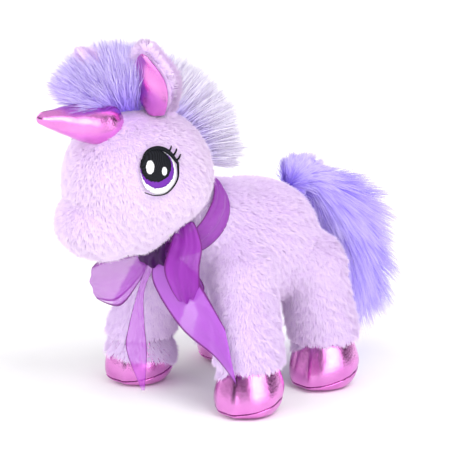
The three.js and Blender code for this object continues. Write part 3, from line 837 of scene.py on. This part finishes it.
def seam_stitches(name, points, centre, material, length=1.2, gap=1.2, width=0.17):
    """A row of short sewn stitches along a closed line round a centre."""
    closed = np.concatenate([points, points[:1]])
    steps = np.linalg.norm(np.diff(closed, axis=0), axis=1)
    along = np.concatenate([[0], np.cumsum(steps)])
    vertices, faces = [], []
    for i in range(int(along[-1] / (length + gap))):
        start, end = (np.array([np.interp(s, along, closed[:, k]) for k in range(3)])
                      for s in (i * (length + gap), i * (length + gap) + length))
        middle = (start + end) / 2
        away = unit(middle - centre)
        side = unit(np.cross(unit(end - start), away))
        stitch = ((start, 0.02, width * 0.3), (middle, 0.16, width), (end, 0.02, width * 0.3))
        rings = [ring(place + away * lift, side * half, away * half, 6) for place, lift, half in stitch]
        part_vertices, part_faces = loft(rings)
        offset = len(vertices) * len(part_vertices)
        vertices.append(part_vertices)
        faces.append([group + offset for group in part_faces])
    groups = [np.concatenate([f[k] for f in faces]) for k in range(2)]
    return new_piece(name, np.concatenate(vertices), groups, material)


def over_hem(leg, foot):
    """Keeps the pile above a leg's ragged hem."""
    level, drop, side = HEMS[leg]

    def keep(places, facing):
        bearing = np.arctan2(places[:, 1] - foot[1], places[:, 0] - foot[0])
        lower = np.maximum(np.cos(bearing - math.radians(side)), 0) ** 2
        ragged, _ = soft_noise(places * [1, 1, 0.2], 7, 33)
        return places[:, 2] > level - drop * lower + ragged * 0.4

    return keep


def build_hoof(leg, seed):
    """A hoof's upper and sole, each as rings of (height, radius, share of the pinched fold)."""
    foot = foot_place(leg)
    seam = HOOF_SEAM
    upper = [(seam - 0.2, 20.3, 0.8), (seam + 0.1, 20.8, 0.8), (seam + 0.8, 21.3, 1.0),
             (seam + 2.5, 21.8, 1.0), (seam + 6, 21.9, 1.0), (seam + 10, 21.1, 0.9), (seam + 15, 19.7, 0.7),
             (seam + 20, 18.2, 0.4), (seam + 26, 16.4, 0.1)]
    sole = [(0.15, 11.5, 0.2), (0.35, 13.3, 0.3), (1.2, 15.6, 0.5), (2.7, 17.6, 0.7), (4.6, 19.3, 0.8),
            (6.6, 20.6, 1.0), (seam - 0.8, 21.1, 1.0), (seam - 0.2, 20.8, 0.8), (seam - 0.1, 20.3, 0.8)]
    for name, node, profile in (("hoof_upper", "hoof", upper), ("hoof_sole", "sole", sole)):
        vertices, faces = loft(hoof_rings(foot, profile, seed))
        piece = new_piece(f"{name}_{leg}", vertices, faces, foil)
        add_modifier(piece, "SUBSURF", levels=1, render_levels=1)
        apply_modifiers(piece)
        declare(piece, f"leg_{leg}", [f"{node}_{leg}"])
        if node == "hoof":
            hem = short_pile(f"hem_pile_{leg}", piece, LEG_PILE, HEM_LEAN, comb_down, seed + 20,
                             [leg_trees[leg]], over_hem(leg, foot))
            declare(hem, f"leg_{leg}")
    line = hoof_rings(foot, [(seam, 20.9, 1.0)], seed)[0]
    stitches = seam_stitches(f"hoof_stitches_{leg}", line, np.array([foot[0], foot[1], seam]), stitch_thread)
    declare(stitches, f"leg_{leg}")


for number, leg in enumerate(LEG_NAMES):
    build_hoof(leg, 40 + number)


# ------------------------------------------------------------------ horn
def build_horn():
    """A stuffed cone that narrows to a round tip, with a gathered root and a seam underneath."""
    length = np.linalg.norm(HORN_TIP - HORN_BASE)
    axis = (HORN_TIP - HORN_BASE) / length
    across = np.array([1.0, 0, 0])
    up = np.cross(axis, across)
    angle = np.linspace(0, 2 * math.pi, 64, endpoint=False)
    seam = -0.35 * np.exp(-((np.angle(np.exp(1j * (angle + math.radians(100)))) / 0.09) ** 2))
    rear, tip_round = -15, 3.4
    rings = []
    for t in np.linspace(0, 1, 56):
        along = rear + (1 - (1 - t) ** 1.35) * (length - rear)
        taper = HORN_RADIUS + (HORN_TIP_RADIUS - HORN_RADIUS) * (max(along, 0) / length) ** 1.35
        rounding = math.sqrt(1 - 0.9 * (min(along, 0) / rear) ** 2)
        end = math.sqrt(max(0.0, 1 - max(0.0, (along - (length - tip_round)) / tip_round) ** 2))
        reach = taper * rounding * max(end, 0.04)
        points = np.stack([np.cos(angle), np.sin(angle), np.full(len(angle), along / 9)], 1) * 9
        value, _ = soft_noise(points, 9, 61)
        pucker = np.cos(angle * 17 + value) * 0.3 * math.exp(-((along + 8) / 5.0) ** 2)
        wide = reach + (pucker + 0.12 * value + seam) * min(1, reach / 6)
        round_axis = np.cos(angle)[:, None] * across + np.sin(angle)[:, None] * up
        rings.append(on_head(HORN_BASE + axis * along + round_axis * wide[:, None]))
    vertices, faces = loft(rings)
    horn = new_piece("horn_foil", vertices, faces, foil)
    declare(horn, "head", ["horn_cover"])


build_horn()


# ------------------------------------------------------------------ ears
def ear_turn(side):
    """The turn from an ear's own frame, where it stands upright and faces forward."""
    mirror = SIDES[side]
    lean, spread, face = (Matrix.Rotation(math.radians(angle), 3, axis) for angle, axis in (
        (EAR_LEAN[side], "X"), (EAR_SPREAD[side] * mirror, "Y"), (EAR_TURN * mirror, "Z")))
    return HEAD_TURN @ np.array(lean @ spread @ face)


def leaf_width(height):
    """The half width of an ear at a share of its height, as a share of its greatest half width."""
    height = np.clip(height, 0, 1)
    return np.maximum(np.sin(math.pi * (height * 0.9 + 0.1) ** 0.92), 0) ** 0.72


def ear_surface(side, offset, cup, grow=0.0, rows=30, columns=22):
    """A leaf, folded in at its base and cupped forward; offset moves it back along its own normal."""
    mirror = SIDES[side]
    half_width, height = EAR_SIZE[0] + grow, EAR_SIZE[1] + grow
    grid = np.zeros((rows, columns, 3))
    for i, v in enumerate(np.linspace(0, 1, rows)):
        profile = leaf_width(v)
        for j, u in enumerate(np.linspace(-1, 1, columns)):
            fold = cup * (abs(u) ** 1.7) * (1 - 0.55 * v)
            x = u * half_width * profile * (1 - 0.16 * (1 - v) * abs(u))
            y = offset - fold + 0.5 * math.sin(v * 9 + u * 3)
            grid[i, j] = (x * mirror, y, v * height - 1.0)
    points = grid.reshape(-1, 3)
    # A drooping ear bends further forward towards its tip.
    droop = math.radians(EAR_DROOP[side]) * np.clip(points[:, 2] / height, 0, 1)
    points = np.stack([points[:, 0], points[:, 1] * np.cos(droop) - points[:, 2] * np.sin(droop),
                       points[:, 2] * np.cos(droop) + points[:, 1] * np.sin(droop)], 1)
    return points @ ear_turn(side).T + joint_place(f"ear_{side}_bend"), rows, columns


def sheet_faces(rows, columns, flip=False):
    index = np.arange(rows * columns).reshape(rows, columns)
    quads = np.stack([index[:-1, :-1], index[:-1, 1:], index[1:, 1:], index[1:, :-1]], -1).reshape(-1, 4)
    return quads[:, ::-1] if flip else quads


def thick_leaf(name, side, offset, cup, thickness, material, grow=0.0, soft=False):
    front, rows, columns = ear_surface(side, offset, cup, grow)
    leaf = new_piece(name, front, [sheet_faces(rows, columns, flip=side == "left")], material)
    add_modifier(leaf, "SOLIDIFY", thickness=thickness * MM, offset=0)
    if soft:
        add_modifier(leaf, "REMESH", mode="VOXEL", voxel_size=1.1 * MM)
        add_modifier(leaf, "SMOOTH", iterations=12)
    else:
        add_modifier(leaf, "SUBSURF", levels=1, render_levels=1)
    apply_modifiers(leaf)
    return leaf


def build_ears():
    for side in SIDES:
        turn = ear_turn(side)
        pivot = joint_place(f"ear_{side}_bend")
        lining = thick_leaf(f"ear_foil_{side}", side, -2.0, -3.2, 1.8, foil)
        back = thick_leaf(f"ear_plush_{side}", side, 3.2, -4.0, 6.0, plush_backing, grow=1.6, soft=True)
        for piece, slot, node in ((lining, "foil", "lining"), (back, "plush", "back")):
            declare(piece, f"ear_{side}", [f"ear_{node}_{side}"])

        def comb(places, facing, turn=turn, pivot=pivot):
            local = (places - pivot) @ turn
            upward = np.tile([0, 0.15, 0.9], (len(local), 1))
            upward[:, 0] = local[:, 0] * 0.12
            return upward @ turn.T

        def off_the_foil(places, facing, turn=turn, pivot=pivot):
            local = (places - pivot) @ turn
            edge = EAR_SIZE[0] * leaf_width(local[:, 2] / EAR_SIZE[1])
            return ((facing @ turn)[:, 1] > -0.3) | (np.abs(local[:, 0]) > edge - 0.6)

        pile = short_pile(f"ear_pile_{side}", back, EAR_PILE, EAR_PILE_LEAN, comb, 70 + SIDES[side], (),
                          off_the_foil, head_plush, per_square_mm=7.0, tuft=16.0)
        pile.visible_shadow = False
        declare(pile, f"ear_{side}")


build_ears()


# ------------------------------------------------------------------ mane and forelock
def crest_strands(name, node, path, angles, lengths, half_width, count, seed, tufts, material, fan=0.42):
    """A band of long pile along a path over the head, fanning from one heading to another."""
    random = np.random.default_rng(seed)
    s = random.random(count)
    across = random.uniform(-1, 1, count)
    line = smooth_path(path, 60)
    roots = np.stack([np.interp(s, np.linspace(0, 1, 60), line[:, k]) for k in range(3)], 1)
    roots[:, 0] += across * half_width
    pitch = np.radians(np.interp(s, np.linspace(0, 1, len(angles)), angles) + random.normal(size=count) * 9)
    spread = across * fan + random.normal(size=count) * 0.12
    headings = np.stack([spread, -np.cos(pitch), np.sin(pitch)], 1)
    reach = np.interp(s, np.linspace(0, 1, len(lengths)), lengths) * random.uniform(0.6, 1.14, count)
    roots = roots - unit(headings) * 2.0
    droop = np.array([0, 0, -0.06])
    hair = long_pile(name, on_head(roots), headings @ HEAD_TURN.T, reach, droop, seed, tufts, material,
                     gather=0.5, width=0.4)
    declare(hair, "head", [node])


crest_strands("forelock_hair", "forelock", [[-7, -63, 78], [-5, -56, 78], [-3, -45, 78], [-1, -34, 77]],
              [32, 52, 74, 94], [38, 44, 47, 45], 7.5, 26000, 81, 420, hair_pile, fan=0.44)
crest_strands("mane_hair", "mane_crest", [[0, -30, 76], [0, -16, 70], [0, -2, 59], [0, 5, 46], [0, 6, 34]],
              [96, 118, 146, 166, 184], [42, 41, 36, 33, 32], 6, 11000, 82, 260, mane_pile)


# ------------------------------------------------------------------ tail
def build_tail():
    """Long strands along the tail's middle line: they stand up at the root and fall and flare below."""
    random = np.random.default_rng(91)
    count = 30000
    root = joint_place("tail_swing")
    spine = smooth_path(root + np.array([[0, -8, 3], [0, 5, 5], [0, 20, -5], [0, 37, -22], [0, 46, -46],
                                         [0, 49, -70]]), 80)
    tangents = unit(np.gradient(spine, axis=0))
    s = random.beta(0.85, 1.15, count)
    place = s * 79
    at = np.stack([np.interp(place, np.arange(80), spine[:, k]) for k in range(3)], 1)
    travel = unit(np.stack([np.interp(place, np.arange(80), tangents[:, k]) for k in range(3)], 1))
    angle = random.uniform(0, 2 * math.pi, count)
    across = np.tile([1.0, 0, 0], (count, 1))
    outside = unit(np.cross(across, travel))
    radial = across * np.cos(angle)[:, None] + outside * np.sin(angle)[:, None]
    outer = np.maximum(np.sin(angle), 0)
    flare = random.uniform(0.1, 1.0, count) * (1.2 - 0.3 * s)
    flare *= 0.75 + 0.85 * outer * smoothstep(0.25, 0.6, s)
    rise = (0.5 + 0.5 * outer) * smoothstep(0.24, 0.04, s) * 2.2
    headings = travel + radial * flare[:, None] + np.array([0, 0, 1.0]) * rise[:, None]
    headings += random.normal(size=(count, 3)) * (0.12 + 0.5 * smoothstep(0.2, 0.0, s))[:, None]
    lengths = 18 + 25 * smoothstep(0.14, 0.5, s) - 8 * smoothstep(0.75, 1.0, s)
    lengths = lengths * random.uniform(0.7, 1.1, count)
    core = (4 + 3 * smoothstep(0.2, 0.5, s)[:, None]) * np.sqrt(random.random(count))[:, None]
    hair = long_pile("tail_hair", at + radial * core, headings, lengths, np.array([0, 0.0, -0.16]), 92, 420,
                     tail_pile, gather=0.56, width=0.46, facing=unit(radial + outside * 0.3))
    declare(hair, "tail", ["tail_plume"])


build_tail()


# ------------------------------------------------------------------ embroidered eyes
def eye_frame(side):
    """An eye's middle, and the directions across and up it on the side of the head."""
    at = EYE_AT * [SIDES[side], 1, 1]
    outward = unit((at - SKULL_AT) / SKULL_SIZE**2)
    up = unit(np.array([0, 0, 1.0]) - outward * outward[2])
    across = np.cross(up, outward)
    tilt = math.radians(EYE_TILT * SIDES[side])
    return at, across * math.cos(tilt) + up * math.sin(tilt), up * math.cos(tilt) - across * math.sin(tilt)


def on_skull(side, flat, height):
    """Points given across and up an eye, laid on the head's side at a height over the backing."""
    at, across, up = eye_frame(side)
    points = at + flat[:, :1] * across * SIDES[side] + flat[:, 1:2] * up
    grown = SKULL_SIZE - PILE_INSET + np.asarray(height).reshape(-1, 1)
    relative = points - SKULL_AT
    scale = 1 / np.sqrt(np.sum((relative / grown) ** 2, 1, keepdims=True))
    return on_head(SKULL_AT + relative * scale)


def stitched_disc(name, side, centre, size, height, material, ragged=0.35, crown=0.5):
    """An oval of satin stitch with a slightly ragged edge and a rounded rim."""
    rings, sectors = 12, 96
    random = np.random.default_rng(len(name))
    angle = np.linspace(0, 2 * math.pi, sectors, endpoint=False)
    edge = 1 + ragged * random.uniform(-1, 1, sectors) / size[0]
    shape = np.stack([np.cos(angle) * size[0], np.sin(angle) * size[1]], 1)
    flat, heights = [np.array([centre])], [[height + crown]]
    for i in range(1, rings + 2):
        r = min(i / rings, 1.0)
        flat.append(np.array(centre) + shape * (r * (1 + (edge - 1) * r))[:, None])
        level = height + crown * math.sqrt(max(0, 1 - r**4)) if i <= rings else height - 1.2
        heights.append(np.full(sectors, level))
    vertices = on_skull(side, np.concatenate(flat), np.concatenate(heights))
    here = np.arange(sectors)
    beside = (here + 1) % sectors
    fan = np.stack([np.zeros(sectors, int), 1 + here, 1 + beside], 1)
    quads = np.concatenate([np.stack([1 + i * sectors + here, 1 + (i + 1) * sectors + here,
                                      1 + (i + 1) * sectors + beside, 1 + i * sectors + beside], 1)
                            for i in range(rings)])
    if side == "right":
        fan, quads = fan[:, ::-1], quads[:, ::-1]
    return new_piece(name, vertices, [quads, fan], material)


def stroke_mesh(name, side, lines, height, material):
    """Embroidered lines: each is (points across and up the eye, width at start, middle and end)."""
    vertices, faces, offset = [], [], 0
    for path, widths in lines:
        line = smooth_path(np.array(path, float), 22)
        travel = unit(np.gradient(line, axis=0))
        normal = np.stack([-travel[:, 1], travel[:, 0]], 1)
        half = np.interp(np.linspace(0, 1, 22), np.linspace(0, 1, len(widths)), widths)[:, None] / 2
        section = ((-1, -0.9), (-0.6, 0.35), (0.6, 0.35), (1, -0.9))
        points = [on_skull(side, line + normal * half * across, np.full(22, height + level))
                  for across, level in section]
        vertices.append(np.stack(points, 1).reshape(-1, 3))
        faces.append(sheet_faces(22, 4, flip=side == "right") + offset)
        offset += 88
    return new_piece(name, np.concatenate(vertices), [np.concatenate(faces)], material)


def build_eyes():
    w, h = EYE_SIZE
    rest = PILE_INSET - 0.4
    # Each layer: its name, the CAD piece it stands for, its middle and half size in eye sizes, how far
    # it stands up, its thread, how ragged its edge is and how much it is crowned.
    layers = (
        ("sclera", "white", (0.0, -0.4 / h), (0.95, 0.96), 0.0, "white", 0.35, 0.5),
        ("violet", "iris", (-0.1, 0.1), (0.86, 0.80), 0.5, "violet", 0.35, 0.5),
        ("black", "pupil", (-0.2, 0.25), (0.80, 0.69), 0.9, "black", 0.35, 0.5),
        ("shine", "glint", (-0.5, 0.16), (0.2, 0.28), 1.5, "white", 0.2, 0.3),
        ("spark", None, (0.22, 0.02), (0.13, 0.17), 1.5, "white", 0.15, 0.3),
    )
    threads = {"white": white_thread, "violet": violet_thread, "black": black_thread}
    for side in SIDES:
        for name, node, (x, y), (wide, tall), level, thread, ragged, crown in layers:
            disc = stitched_disc(f"eye_{name}_{side}", side, (w * x, h * y), (w * wide, h * tall),
                                 rest + level, threads[thread], ragged, crown)
            declare(disc, "head", [f"eye_{node}_{side}"] if node else ())
        lines = [
            ([(-w * 0.98, h * 0.1), (-w * 0.7, h * 0.78), (-w * 0.1, h * 1.02), (w * 0.5, h * 0.86),
              (w * 0.98, h * 0.38)], (0.8, 2.4, 3.4, 3.2, 1.6)),
            ([(w * 0.98, h * 0.38), (w * 0.95, -h * 0.3), (w * 0.45, -h * 0.86), (-w * 0.2, -h * 1.0),
              (-w * 0.75, -h * 0.9)], (1.4, 0.7, 0.7, 0.6, 0.5)),
            ([(w * 0.50, h * 0.84), (w * 0.62, h * 1.0), (w * 0.68, h * 1.14)], (1.5, 1.1, 0.5)),
            ([(w * 0.74, h * 0.70), (w * 0.90, h * 0.88), (w * 0.98, h * 1.04)], (1.5, 1.1, 0.5)),
            ([(w * 0.92, h * 0.50), (w * 1.08, h * 0.64), (w * 1.18, h * 0.80)], (1.5, 1.1, 0.5)),
        ]
        lashes = stroke_mesh(f"eye_lines_{side}", side, lines, rest + 1.4, black_thread)
        declare(lashes, "head", [f"eye_lashes_{side}"])


build_eyes()


# ------------------------------------------------------------------ ribbon bow
def ribbon_sheet(name, left, right, material, bulge, pleat, rows, columns=20):
    """One length of ribbon between the curves of its two edges. bulge lifts its middle and pleat folds
    it lengthwise, in millimetres."""
    left, right = smooth_path(left, rows), smooth_path(right, rows)
    across = right - left
    normal = unit(np.cross(np.gradient(left + right, axis=0), across))
    along = np.linspace(0, 1, rows)
    grid = np.zeros((rows, columns, 3))
    uvs = np.zeros((rows, columns, 2))
    for j, u in enumerate(np.linspace(-1, 1, columns)):
        lift = (1 - u * u) * (bulge + pleat * np.sin(u * 7 + along * 5)) * np.sin(math.pi * along) ** 0.5
        grid[:, j] = left + across * (u + 1) / 2 + normal * lift[:, None]
        uvs[:, j] = np.stack([np.full(rows, (u + 1) / 2), along], 1)
    return new_piece(name, grid.reshape(-1, 3), [sheet_faces(rows, columns)], material, uvs.reshape(-1, 2))


def edges_beside(path, across, widths):
    """The two edges of a ribbon whose middle follows a path; across gives the direction of its width."""
    path, across = np.asarray(path, float), unit(np.asarray(across, float))
    half = np.interp(np.linspace(0, 1, len(path)), np.linspace(0, 1, len(widths)), widths)[:, None] / 2
    return path - across * half, path + across * half


def add_ribbon(name, node, edges, material, bulge, pleat, rows):
    """One length of the ribbon, on the torso in place of its CAD piece."""
    piece = ribbon_sheet(name, *edges, material, bulge, pleat, rows)
    declare(piece, "torso", [node])


def build_neck_band():
    """The band lies on the neck, in a plane that tips forward to the knot."""
    tilt = math.radians(BAND_TILT)
    centre = NECK + BAND_OFFSET
    path, outward = [], []
    for a in np.linspace(0, 2 * math.pi, 25):
        away = np.array([math.sin(a), -math.cos(a) * math.cos(tilt), -math.cos(a) * math.sin(tilt)])
        start = Vector(centre + away * 60) * MM
        place, *_ = torso_tree.ray_cast(start, Vector(-away))
        reach = np.linalg.norm(np.array(place) / MM - centre)
        path.append(centre + away * min(reach + 2.4, BAND_REACH))
        outward.append([0, -math.sin(tilt), math.cos(tilt)])
    edges = edges_beside(path, outward, [14, 19, 21, 18, 16, 18, 21, 19, 14])
    # The band is darker for its layers of folded cloth, and with painted shade.
    add_ribbon("neck_band", "neck_ribbon", edges, folded_shaded_organza, 1.2, 0.8, 150)


def build_bow():
    """The loops, tails and knot, by the places of their two edges measured from the knot."""
    build_neck_band()
    lengths = (
        # The near loop is darker for its layers of cloth, and with painted shade.
        ("bow_loop_near", "bow_loop_left", "gathered", "neck_band", folded_shaded_organza, 2.0, 1.1, 120,
         [[0, -2, 4], [6, 2, 14], [12, 2, 17], [14, -4, 8], [13, -8, -6], [16, -6, -18], [18, 0, -28],
          [14, 2, -21], [6, 0, -11], [-1, -1, -2]],
         [[3, 1, -2], [14, 8, 9], [21, 9, 22], [28, 10, 8], [29, 7, -5], [29, 7, -17], [26, 8, -26],
          [26, 14, -20], [18, 10, -9], [2, 2, -7]]),
        ("bow_loop_far", "bow_loop_right", "gathered", "neck_band", organza, 2.4, 0.6, 120,
         [[-3, -3, 1], [-11, -15, -1], [-21, -25, -2], [-31, -27, -11], [-30, -18, -9], [-17, -9, -5],
          [-5, -1, -1]],
         [[-4, -4, -7], [-7, -11, -20], [-15, -19, -34], [-29, -25, -31], [-25, -13, -34], [-14, -6, -21],
          [-6, -2, -6]]),
        ("bow_tail_near", "ribbon_tail_left", "hung", "leg_skin_front_left", loose_organza, 1.5, 0.3, 80,
         [[-2, -3, -4], [1, -5, -20], [18, 2, -46], [40, 10, -62], [61, 7, -74]],
         [[6, 2, 1], [20, 6, -6], [32, 8, -20], [40, 10, -32], [46, 12, -42]]),
        ("bow_tail_far", "ribbon_tail_right", "hung", "bow_knot_wrap", organza, 1.0, 0.1, 80,
         [[-5, -5, -4], [-7, -11, -24], [-9, -17, -46], [-8, -20, -61], [0, -15, -86]],
         [[0, -2, -6], [-3, -9, -24], [-1, -11, -45], [2, -12, -61], [2, -14, -86]]),
    )
    for name, node, held, rests_on, material, bulge, pleat, rows, left, right in lengths:
        edges = (BOW_KNOT + np.array(left), BOW_KNOT + np.array(right))
        add_ribbon(name, node, edges, material, bulge, pleat, rows)
    wraps = [BOW_KNOT + np.array([0.3 * math.cos(a) + 1, math.cos(a) * 7, math.sin(a) * 10 + 2])
             for a in np.linspace(0, 2 * math.pi, 10)]
    knot = edges_beside(wraps, [[1, 0.6, 0.15]] * len(wraps), [16, 19, 17, 19, 16])
    # The knot is near-opaque deep plum: its gathered layers of cloth, darkened further with painted shade.
    add_ribbon("bow_knot_wrap", "bow_knot", knot, gathered_shaded_organza, 1.6, 1.2, 80)


build_bow()


# ------------------------------------------------------------------ stuffing and the tail's root
def build_fills():
    """Fibre filling: each CAD block of it, loosened into a soft lump that stays inside its cover."""
    for name, node in frame["nodes"].items():
        if "stuffing" not in name and name != "tail_root":
            continue
        fill = bpy.data.objects.new(f"fibre_{name}", node.data.copy())
        bpy.context.scene.collection.objects.link(fill)
        add_modifier(fill, "REMESH", mode="VOXEL", voxel_size=2.2 * MM)
        add_modifier(fill, "SMOOTH", iterations=12)
        apply_modifiers(fill)
        points = positions(fill)
        normals = np.array([v.normal[:] for v in fill.data.vertices])
        value, _ = soft_noise(points, 7, 5)
        # A leg's cover is narrower at the thigh than its block of filling.
        inset = 3.2 if name.startswith("leg") else 0.7
        move_vertices(fill, points + normals * (value[:, None] * 0.5 - inset))
        fill.data.materials.clear()
        material, slot = (hair_backing, "long_pile") if name == "tail_root" else (fibre, "filling")
        fill.data.materials.append(material)
        declare(fill, node["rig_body"], [name])


build_fills()
